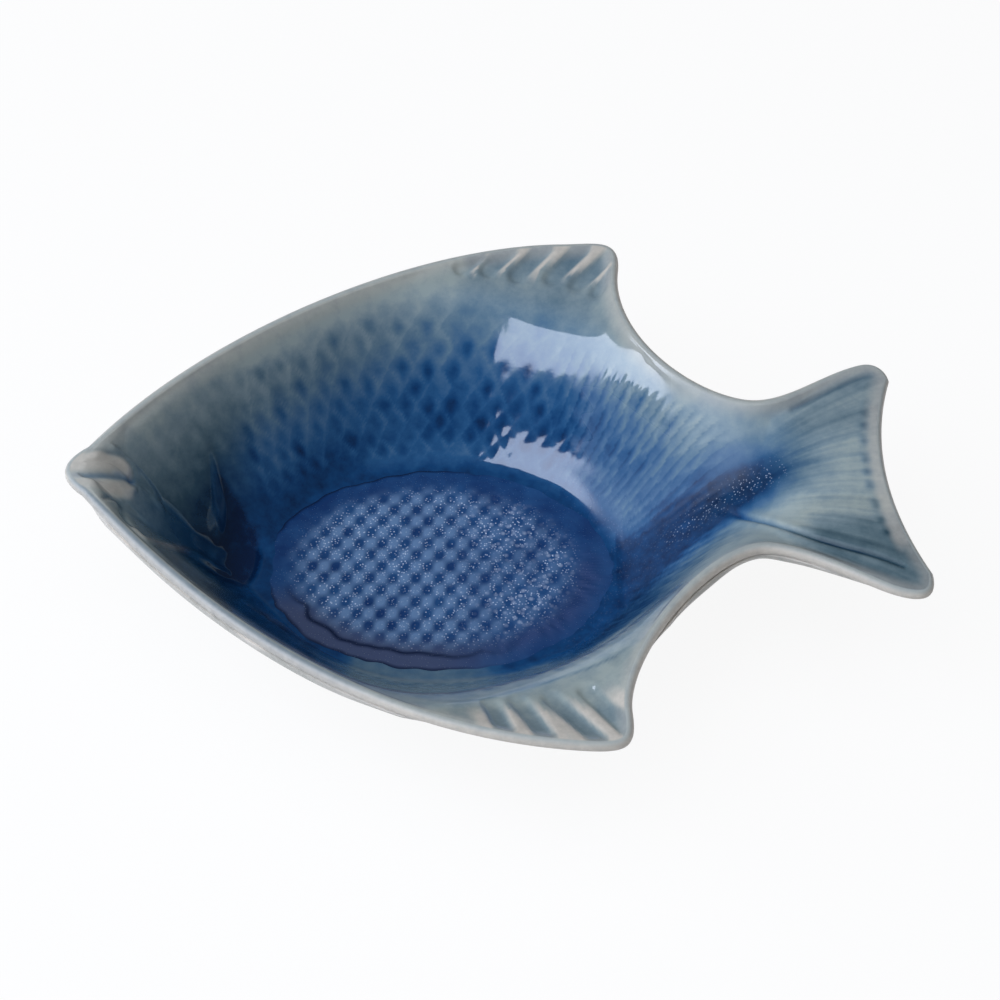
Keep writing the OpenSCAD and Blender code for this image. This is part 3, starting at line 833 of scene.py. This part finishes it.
# %% Clay body with its foot
body_form = dish_form(120, 5, 18, 5)
clay_body, body_index = grid_piece("stoneware_body", body_form.rows, body_form.cols, sunk(body_form, 0.35))
ring = body_index[body_form.border]
for angle in (75, 30, -15, -58):
    ring = extrude_ring(clay_body, ring, lip_ring(body_form, angle, clay_lip))
underside, _ = grid_piece("stoneware_underside", body_form.rows, body_form.cols, through_wall(
    body_form, -0.6 * (1 - ease((body_form.inset - 3) / 8)), clay_lip))
flip(underside)
close_with(clay_body, underside)
foot_side = [(0, 3), (0, 0.7), (0.25, 0.25), (0.8, 0)]
foot = oval_ring("foot", [(foot_inset + across_foot, height) for across_foot, height in foot_side]
                 + [(foot_inset + foot_width - across_foot, height) for across_foot, height in foot_side[::-1]])
combine(clay_body, foot, "UNION")
bpy.ops.object.shade_smooth_by_angle(angle=math.radians(40))
print("clay body:", len(clay_body.data.vertices), "points")

# %% [markdown]
# ## Colours and one helper for nodes
# Colours are written as the hex values a designer would read off a screen and turned to linear light
# by one function. One small function adds a node and sets it; a node named as an input is linked by its
# first output.


# %% Colour and node helpers
def colour(code):
    parts = [int(code[k:k + 2], 16) / 255 for k in (1, 3, 5)]
    return (*[c / 12.92 if c <= 0.04045 else ((c + 0.055) / 1.055) ** 2.4 for c in parts], 1.0)


def add(tree, kind, inputs=None, stops=None, **settings):
    made = tree.nodes.new("ShaderNode" + kind)
    for name, value in settings.items():
        setattr(made, name, value)
    for k, (place_at, code) in enumerate(stops or []):
        stop = made.color_ramp.elements[k] if k < 2 else made.color_ramp.elements.new(place_at)
        stop.position, stop.color = place_at, colour(code)
    for socket, value in (inputs or {}).items():
        if isinstance(value, bpy.types.Node):
            value = value.outputs[0]
        if isinstance(value, bpy.types.NodeSocket):
            tree.links.new(value, made.inputs[socket])
        else:
            made.inputs[socket].default_value = value
    return made


def new_material(name):
    material = bpy.data.materials.new(name)
    material.use_nodes = True
    tree = material.node_tree
    tree.nodes.clear()
    return material, tree


print("cream reads", [round(c, 3) for c in colour("#C8BEB0")[:3]])

# %% [markdown]
# ## Blue running glaze, dipped and fired
# A cobalt glass over cream clay: where it is thin it breaks to cream and grey green, where it is thick
# it is deep blue. The surface is fire polished, so it is smooth and mirrors the lamps, with a faint
# orange peel. A texture image could hold it, but ramps over the kept numbers stay sharp at any size.

# %% Running glaze of the inner coat
running_glaze, tree = new_material("blue_running_glaze_fired")
where = add(tree, "TexCoord").outputs["Object"]
numbers = {name: add(tree, "Attribute", attribute_name=name).outputs["Fac"] for name in coat_numbers}
# cloudy patches 5 mm wide: one metre holds 1000 / 5 of them
cloud = add(tree, "TexNoise", {"Vector": where, "Scale": 200, "Detail": 5, "Roughness": 0.65})
cloud_part = add(tree, "MapRange", {"Value": cloud, "From Min": 0.3, "From Max": 0.7,
                                    "To Min": -0.08, "To Max": 0.08})
depth = add(tree, "Math", {0: numbers["run"], 1: cloud_part}, operation="ADD", use_clamp=True)
blue = add(tree, "ValToRGB", {"Fac": depth}, stops=[
    (0.0, "#9AA8A8"), (1.0, "#061F42"), (0.18, "#7E939D"), (0.36, "#5F7C90"), (0.52, "#43688A"),
    (0.68, "#255580"), (0.84, "#0F3F6C")])
grey = add(tree, "ValToRGB", {"Fac": depth}, stops=[
    (0.0, "#97A19C"), (1.0, "#04182C"), (0.2, "#76868A"), (0.42, "#566A71"), (0.65, "#304853"),
    (0.85, "#102D42")])
glass = add(tree, "Mix", {0: numbers["smoke"], 6: blue, 7: grey}, data_type="RGBA").outputs[2]
print("colour by depth:", len(tree.nodes), "nodes")

# %% Cream, crystals and shine of the inner coat
# cream shows where the glass broke thin; specks of 2 mm make its border ragged
speck = add(tree, "TexNoise", {"Vector": where, "Scale": 420, "Detail": 3, "Roughness": 0.65})
ragged = add(tree, "MapRange", {"Value": speck, "From Min": 0.3, "From Max": 0.7,
                                "To Min": 0.9, "To Max": 1.05})
thin = add(tree, "Math", {0: numbers["worn"], 1: ragged}, operation="MULTIPLY", use_clamp=True)
cream = add(tree, "ValToRGB", {"Fac": speck}, stops=[(0.3, "#C8BEB0"), (0.7, "#D3CABC")])
surface = add(tree, "Mix", {0: thin, 6: glass, 7: cream}, data_type="RGBA").outputs[2]
# crystals of a third of a millimetre, in cells of 1 mm
cells = add(tree, "TexVoronoi", {"Vector": where, "Scale": 1000, "Randomness": 1.0})
fleck = add(tree, "MapRange", {"Value": cells, "From Min": 0.1, "From Max": 0.28, "To Min": 1.0, "To Max": 0.0})
frosted = add(tree, "Math", {0: fleck, 1: numbers["frost"]}, operation="MULTIPLY", use_clamp=True)
surface = add(tree, "Mix", {0: frosted, 6: surface, 7: colour("#B9C6DC")}, data_type="RGBA").outputs[2]
# smooth glass, but satin on the neck and tail, where fine crystals dull it
rough = add(tree, "MapRange", {"Value": numbers["satin"], "To Min": 0.07, "To Max": 0.42})
mirror = add(tree, "MapRange", {"Value": numbers["satin"], "To Min": 0.5, "To Max": 0.18})
peel = add(tree, "TexNoise", {"Vector": where, "Scale": 330, "Detail": 2})
bump = add(tree, "Bump", {"Height": peel, "Strength": 0.05, "Distance": 0.0003})
glossy = add(tree, "BsdfPrincipled", {"Base Color": surface, "Roughness": rough, "IOR": 1.8,
                                      "Specular IOR Level": mirror, "Normal": bump})
add(tree, "OutputMaterial", {"Surface": glossy})
inner_glaze.data.materials.append(running_glaze)
print(running_glaze.name, "has", len(tree.nodes), "nodes")

# %% [markdown]
# ## Crystal glaze, slow cooled
# The pool is the same glass, but thick and slowly cooled, so zinc crystals whiten it: they crowd on the
# raised dots of the lattice and leave dark blue between them. A thin dark line and a purple margin
# ring it, where the glass is deepest and holds no crystals.

# %% Crystal glaze of the pool
crystal_glaze, tree = new_material("blue_crystal_glaze_slow_cooled")
where = add(tree, "TexCoord").outputs["Object"]
numbers = {name: add(tree, "Attribute", attribute_name=name).outputs["Fac"] for name in pool_numbers}
# clouds 11 mm wide in the glass
cloud = add(tree, "TexNoise", {"Vector": where, "Scale": 90, "Detail": 5, "Roughness": 0.6})
ground = add(tree, "ValToRGB", {"Fac": cloud}, stops=[(0.35, "#163461"), (0.65, "#244A77")])
rays = add(tree, "ValToRGB", {"Fac": numbers["spokes"]}, stops=[(0.2, "#20375F"), (0.8, "#35476F")])
purple = add(tree, "Mix", {0: numbers["purple_band"], 6: ground, 7: rays}, data_type="RGBA").outputs[2]
margin = add(tree, "Mix", {0: numbers["near_left"], 6: purple, 7: colour("#414C68")},
             data_type="RGBA").outputs[2]
milk = add(tree, "MapRange", {"Value": numbers["dots"], "From Min": 0.2, "From Max": 0.8,
                              "To Min": 0.0, "To Max": 0.74})
less = add(tree, "MapRange", {"Value": numbers["to_right"], "To Min": 1.0, "To Max": 0.5})
milk = add(tree, "Math", {0: milk, 1: less}, operation="MULTIPLY")
milky = add(tree, "Mix", {0: milk, 6: ground, 7: colour("#6C8BAE")}, data_type="RGBA").outputs[2]
print("glass of the pool:", len(tree.nodes), "nodes")

# %% Crystals, dark line and shine of the pool
# crystals 0.3 to 0.5 mm across, in cells of 1 mm, crowded where the cloud is pale
cells = add(tree, "TexVoronoi", {"Vector": where, "Scale": 1000, "Randomness": 1.0})
fleck = add(tree, "MapRange", {"Value": cells, "From Min": 0.14, "From Max": 0.32,
                               "To Min": 1.0, "To Max": 0.0})
crowd = add(tree, "MapRange", {"Value": cloud, "From Min": 0.4, "From Max": 0.6, "To Min": 0.15, "To Max": 0.8})
flecks = add(tree, "Math", {0: fleck, 1: crowd}, operation="MULTIPLY", use_clamp=True)
# to the right they have grown together to blots of 1.5 mm
blots = add(tree, "TexVoronoi", {"Vector": where, "Scale": 430, "Randomness": 1.0})
blot = add(tree, "MapRange", {"Value": blots, "From Min": 0.12, "From Max": 0.42, "To Min": 0.5, "To Max": 0.0})
blot = add(tree, "Math", {0: blot, 1: numbers["to_right"]}, operation="MULTIPLY")
blot = add(tree, "Math", {0: blot, 1: crowd}, operation="MULTIPLY")
flecks = add(tree, "Math", {0: flecks, 1: blot}, operation="MAXIMUM")
milky = add(tree, "Mix", {0: flecks, 6: milky, 7: colour("#C6D2E6")}, data_type="RGBA").outputs[2]
glass = add(tree, "Mix", {0: numbers["in_lattice"], 6: margin, 7: milky}, data_type="RGBA").outputs[2]
# a dark line a millimetre wide, where the glass ends; it fades out to the right
line = add(tree, "MapRange", {"Value": numbers["from_edge"], "From Min": 0.6, "From Max": 1.7,
                              "To Min": 0.9, "To Max": 0.0})
fade = add(tree, "Math", {0: 1.0, 1: numbers["to_right"]}, operation="SUBTRACT")
line = add(tree, "Math", {0: line, 1: fade}, operation="MULTIPLY")
line = add(tree, "Math", {0: line, 1: numbers["inner_line"]}, operation="MAXIMUM")
surface = add(tree, "Mix", {0: line, 6: glass, 7: colour("#0B1A36")}, data_type="RGBA").outputs[2]
rough = add(tree, "MapRange", {"Value": fleck, "To Min": 0.12, "To Max": 0.3})
bump = add(tree, "Bump", {"Height": fleck, "Strength": 0.2, "Distance": 0.0002})
glossy = add(tree, "BsdfPrincipled", {"Base Color": surface, "Roughness": rough, "IOR": 1.6, "Normal": bump})
add(tree, "OutputMaterial", {"Surface": glossy})
glaze_pool.data.materials.append(crystal_glaze)
print(crystal_glaze.name, "has", len(tree.nodes), "nodes")

# %% [markdown]
# ## Thin glaze outside, and bare stoneware
# Outside the glass is thin: cream at the lip, then a pale grey blue with soft runs. The bare foot is
# fired stoneware, matt, with a fine dark grit that the wiping left open.

# %% Thin glaze of the outer coat
thin_glaze, tree = new_material("grey_blue_glaze_thin_dipped")
where = add(tree, "TexCoord").outputs["Object"]
height = add(tree, "SeparateXYZ", {0: where}).outputs["Z"]
# soft runs 14 mm wide shift the colour up or down the wall by 5 mm
cloud = add(tree, "TexNoise", {"Vector": where, "Scale": 70, "Detail": 5, "Roughness": 0.6})
sag = add(tree, "MapRange", {"Value": cloud, "From Min": 0.3, "From Max": 0.7,
                             "To Min": -0.005, "To Max": 0.005})
level_at = add(tree, "Math", {0: height, 1: sag}, operation="ADD")
level_share = add(tree, "MapRange", {"Value": level_at, "From Min": 0.0, "From Max": 0.052})
surface = add(tree, "ValToRGB", {"Fac": level_share}, stops=[
    (0.0, "#4E6A80"), (1.0, "#DAD3C8"), (0.35, "#66808F"), (0.7, "#82959B"),
    (0.86, "#B0AEA5")])
rough = add(tree, "MapRange", {"Value": level_share, "From Min": 0.8, "From Max": 0.94,
                               "To Min": 0.12, "To Max": 0.42})
mirror = add(tree, "MapRange", {"Value": level_share, "From Min": 0.8, "From Max": 0.94,
                                "To Min": 0.5, "To Max": 0.12})
peel = add(tree, "TexNoise", {"Vector": where, "Scale": 330, "Detail": 2})
bump = add(tree, "Bump", {"Height": peel, "Strength": 0.12, "Distance": 0.0003})
glossy = add(tree, "BsdfPrincipled", {"Base Color": surface, "Roughness": rough, "IOR": 1.5,
                                      "Specular IOR Level": mirror, "Normal": bump})
add(tree, "OutputMaterial", {"Surface": glossy})
outer_glaze.data.materials.append(thin_glaze)
print(thin_glaze.name, "has", len(tree.nodes), "nodes")

# %% Bare stoneware of the foot
stoneware, tree = new_material("stoneware_bare_fired")
where = add(tree, "TexCoord").outputs["Object"]
# grit of 0.7 mm
grit = add(tree, "TexNoise", {"Vector": where, "Scale": 1400, "Detail": 4, "Roughness": 0.7})
cloud = add(tree, "TexNoise", {"Vector": where, "Scale": 60, "Detail": 3})
body = add(tree, "ValToRGB", {"Fac": cloud}, stops=[(0.35, "#B3A48C"), (0.65, "#C9BCA5")])
dark = add(tree, "MapRange", {"Value": grit, "From Min": 0.3, "From Max": 0.42, "To Min": 0.45, "To Max": 0.0})
surface = add(tree, "Mix", {0: dark, 6: body, 7: colour("#6B5B48")}, data_type="RGBA").outputs[2]
bump = add(tree, "Bump", {"Height": grit, "Strength": 0.35, "Distance": 0.0003})
matt = add(tree, "BsdfPrincipled", {"Base Color": surface, "Roughness": 0.85, "IOR": 1.5, "Normal": bump})
add(tree, "OutputMaterial", {"Surface": matt})
clay_body.data.materials.append(stoneware)
print(stoneware.name, "has", len(tree.nodes), "nodes")

# %% Each piece stands for its solid and rides on the one body
for piece, node, slot in ((clay_body, "clay_body", "stoneware"), (inner_glaze, "inner_glaze", "inner_glaze"),
                          (outer_glaze, "outer_glaze", "outer_glaze"), (glaze_pool, "glaze_pool", "pool_glaze")):
    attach(piece, "root")
    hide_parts(node)
    print(piece.name, "stands for", node)

# %% [markdown]
# ## Floor and studio light
# The photograph is a cut-out on white with one large soft lamp to the left of the camera; its mirror
# image is the pale patch on the far wall. A wide fill overhead evens the light and is kept out of the
# mirror, as a high ceiling would be. A pale floor keeps a soft shadow, and the room adds a little more.

# %% Floor
bpy.ops.object.select_all(action="DESELECT")
bpy.ops.mesh.primitive_plane_add(size=6, location=(0, 0, -0.0002))
floor = bpy.context.object
floor.name = "pale_floor"
paper, tree = new_material("white_paper_matt")
path = add(tree, "LightPath")
seen = add(tree, "Math", {0: path.outputs["Is Camera Ray"], 1: path.outputs["Is Glossy Ray"]},
           operation="MAXIMUM")
seen = add(tree, "Math", {0: seen, 1: path.outputs["Is Transmission Ray"]}, operation="MAXIMUM")
share = add(tree, "Math", {0: seen, 1: 0.92}, operation="MULTIPLY")
matt = add(tree, "BsdfDiffuse", {"Color": (0.85, 0.85, 0.85, 1)})
white = add(tree, "Emission", {"Color": (1, 1, 1, 1), "Strength": 1.0})
both = add(tree, "MixShader", {0: share, 1: matt, 2: white})
add(tree, "OutputMaterial", {"Surface": both})
floor.data.materials.append(paper)
print("floor", floor.dimensions[0], "m wide")

# %% World
world = bpy.data.worlds.new("soft_room")
bpy.context.scene.world = world
world.use_nodes = True
tree = world.node_tree
tree.nodes.clear()
path = add(tree, "LightPath")
room = add(tree, "Background", {"Color": colour("#E4EAF4"), "Strength": 0.05})
white = add(tree, "Background", {"Color": (1, 1, 1, 1), "Strength": 1.0})
both = add(tree, "MixShader", {0: path.outputs["Is Camera Ray"], 1: room, 2: white})
add(tree, "OutputWorld", {"Surface": both})
print("room light", room.inputs["Strength"].default_value)


# %% Lamps
def soft_lamp(name, bearing, height, roll, reach, width, depth, power, code):
    a, e, k = (math.radians(angle) for angle in (bearing, height, roll))
    toward = Vector((math.sin(a) * math.cos(e), -math.cos(a) * math.cos(e), math.sin(e)))
    level = Vector((math.cos(a), math.sin(a), 0))
    rise = toward.cross(level)
    side, top = math.cos(k) * level + math.sin(k) * rise, math.cos(k) * rise - math.sin(k) * level
    bpy.ops.object.light_add(type="AREA")
    lamp = bpy.context.object
    lamp.name = name
    lamp.matrix_world = Matrix.Translation(toward * reach) @ Matrix((side, top, toward)).transposed().to_4x4()
    lamp.data.shape, lamp.data.size, lamp.data.size_y = "RECTANGLE", width, depth
    lamp.data.energy, lamp.data.color = power, colour(code)[:3]
    return lamp


soft_lamp("window_lamp", bearing=-72.1, height=41.9, roll=36.3, reach=1.3, width=1.51, depth=1.06,
          power=20, code="#E4EDFF")
top_fill = soft_lamp("top_fill", bearing=0, height=80, roll=0, reach=1.4, width=1.2, depth=1.2,
                     power=9, code="#F4F7FF")
top_fill.visible_glossy = False
bpy.context.scene.view_settings.view_transform = "Standard"
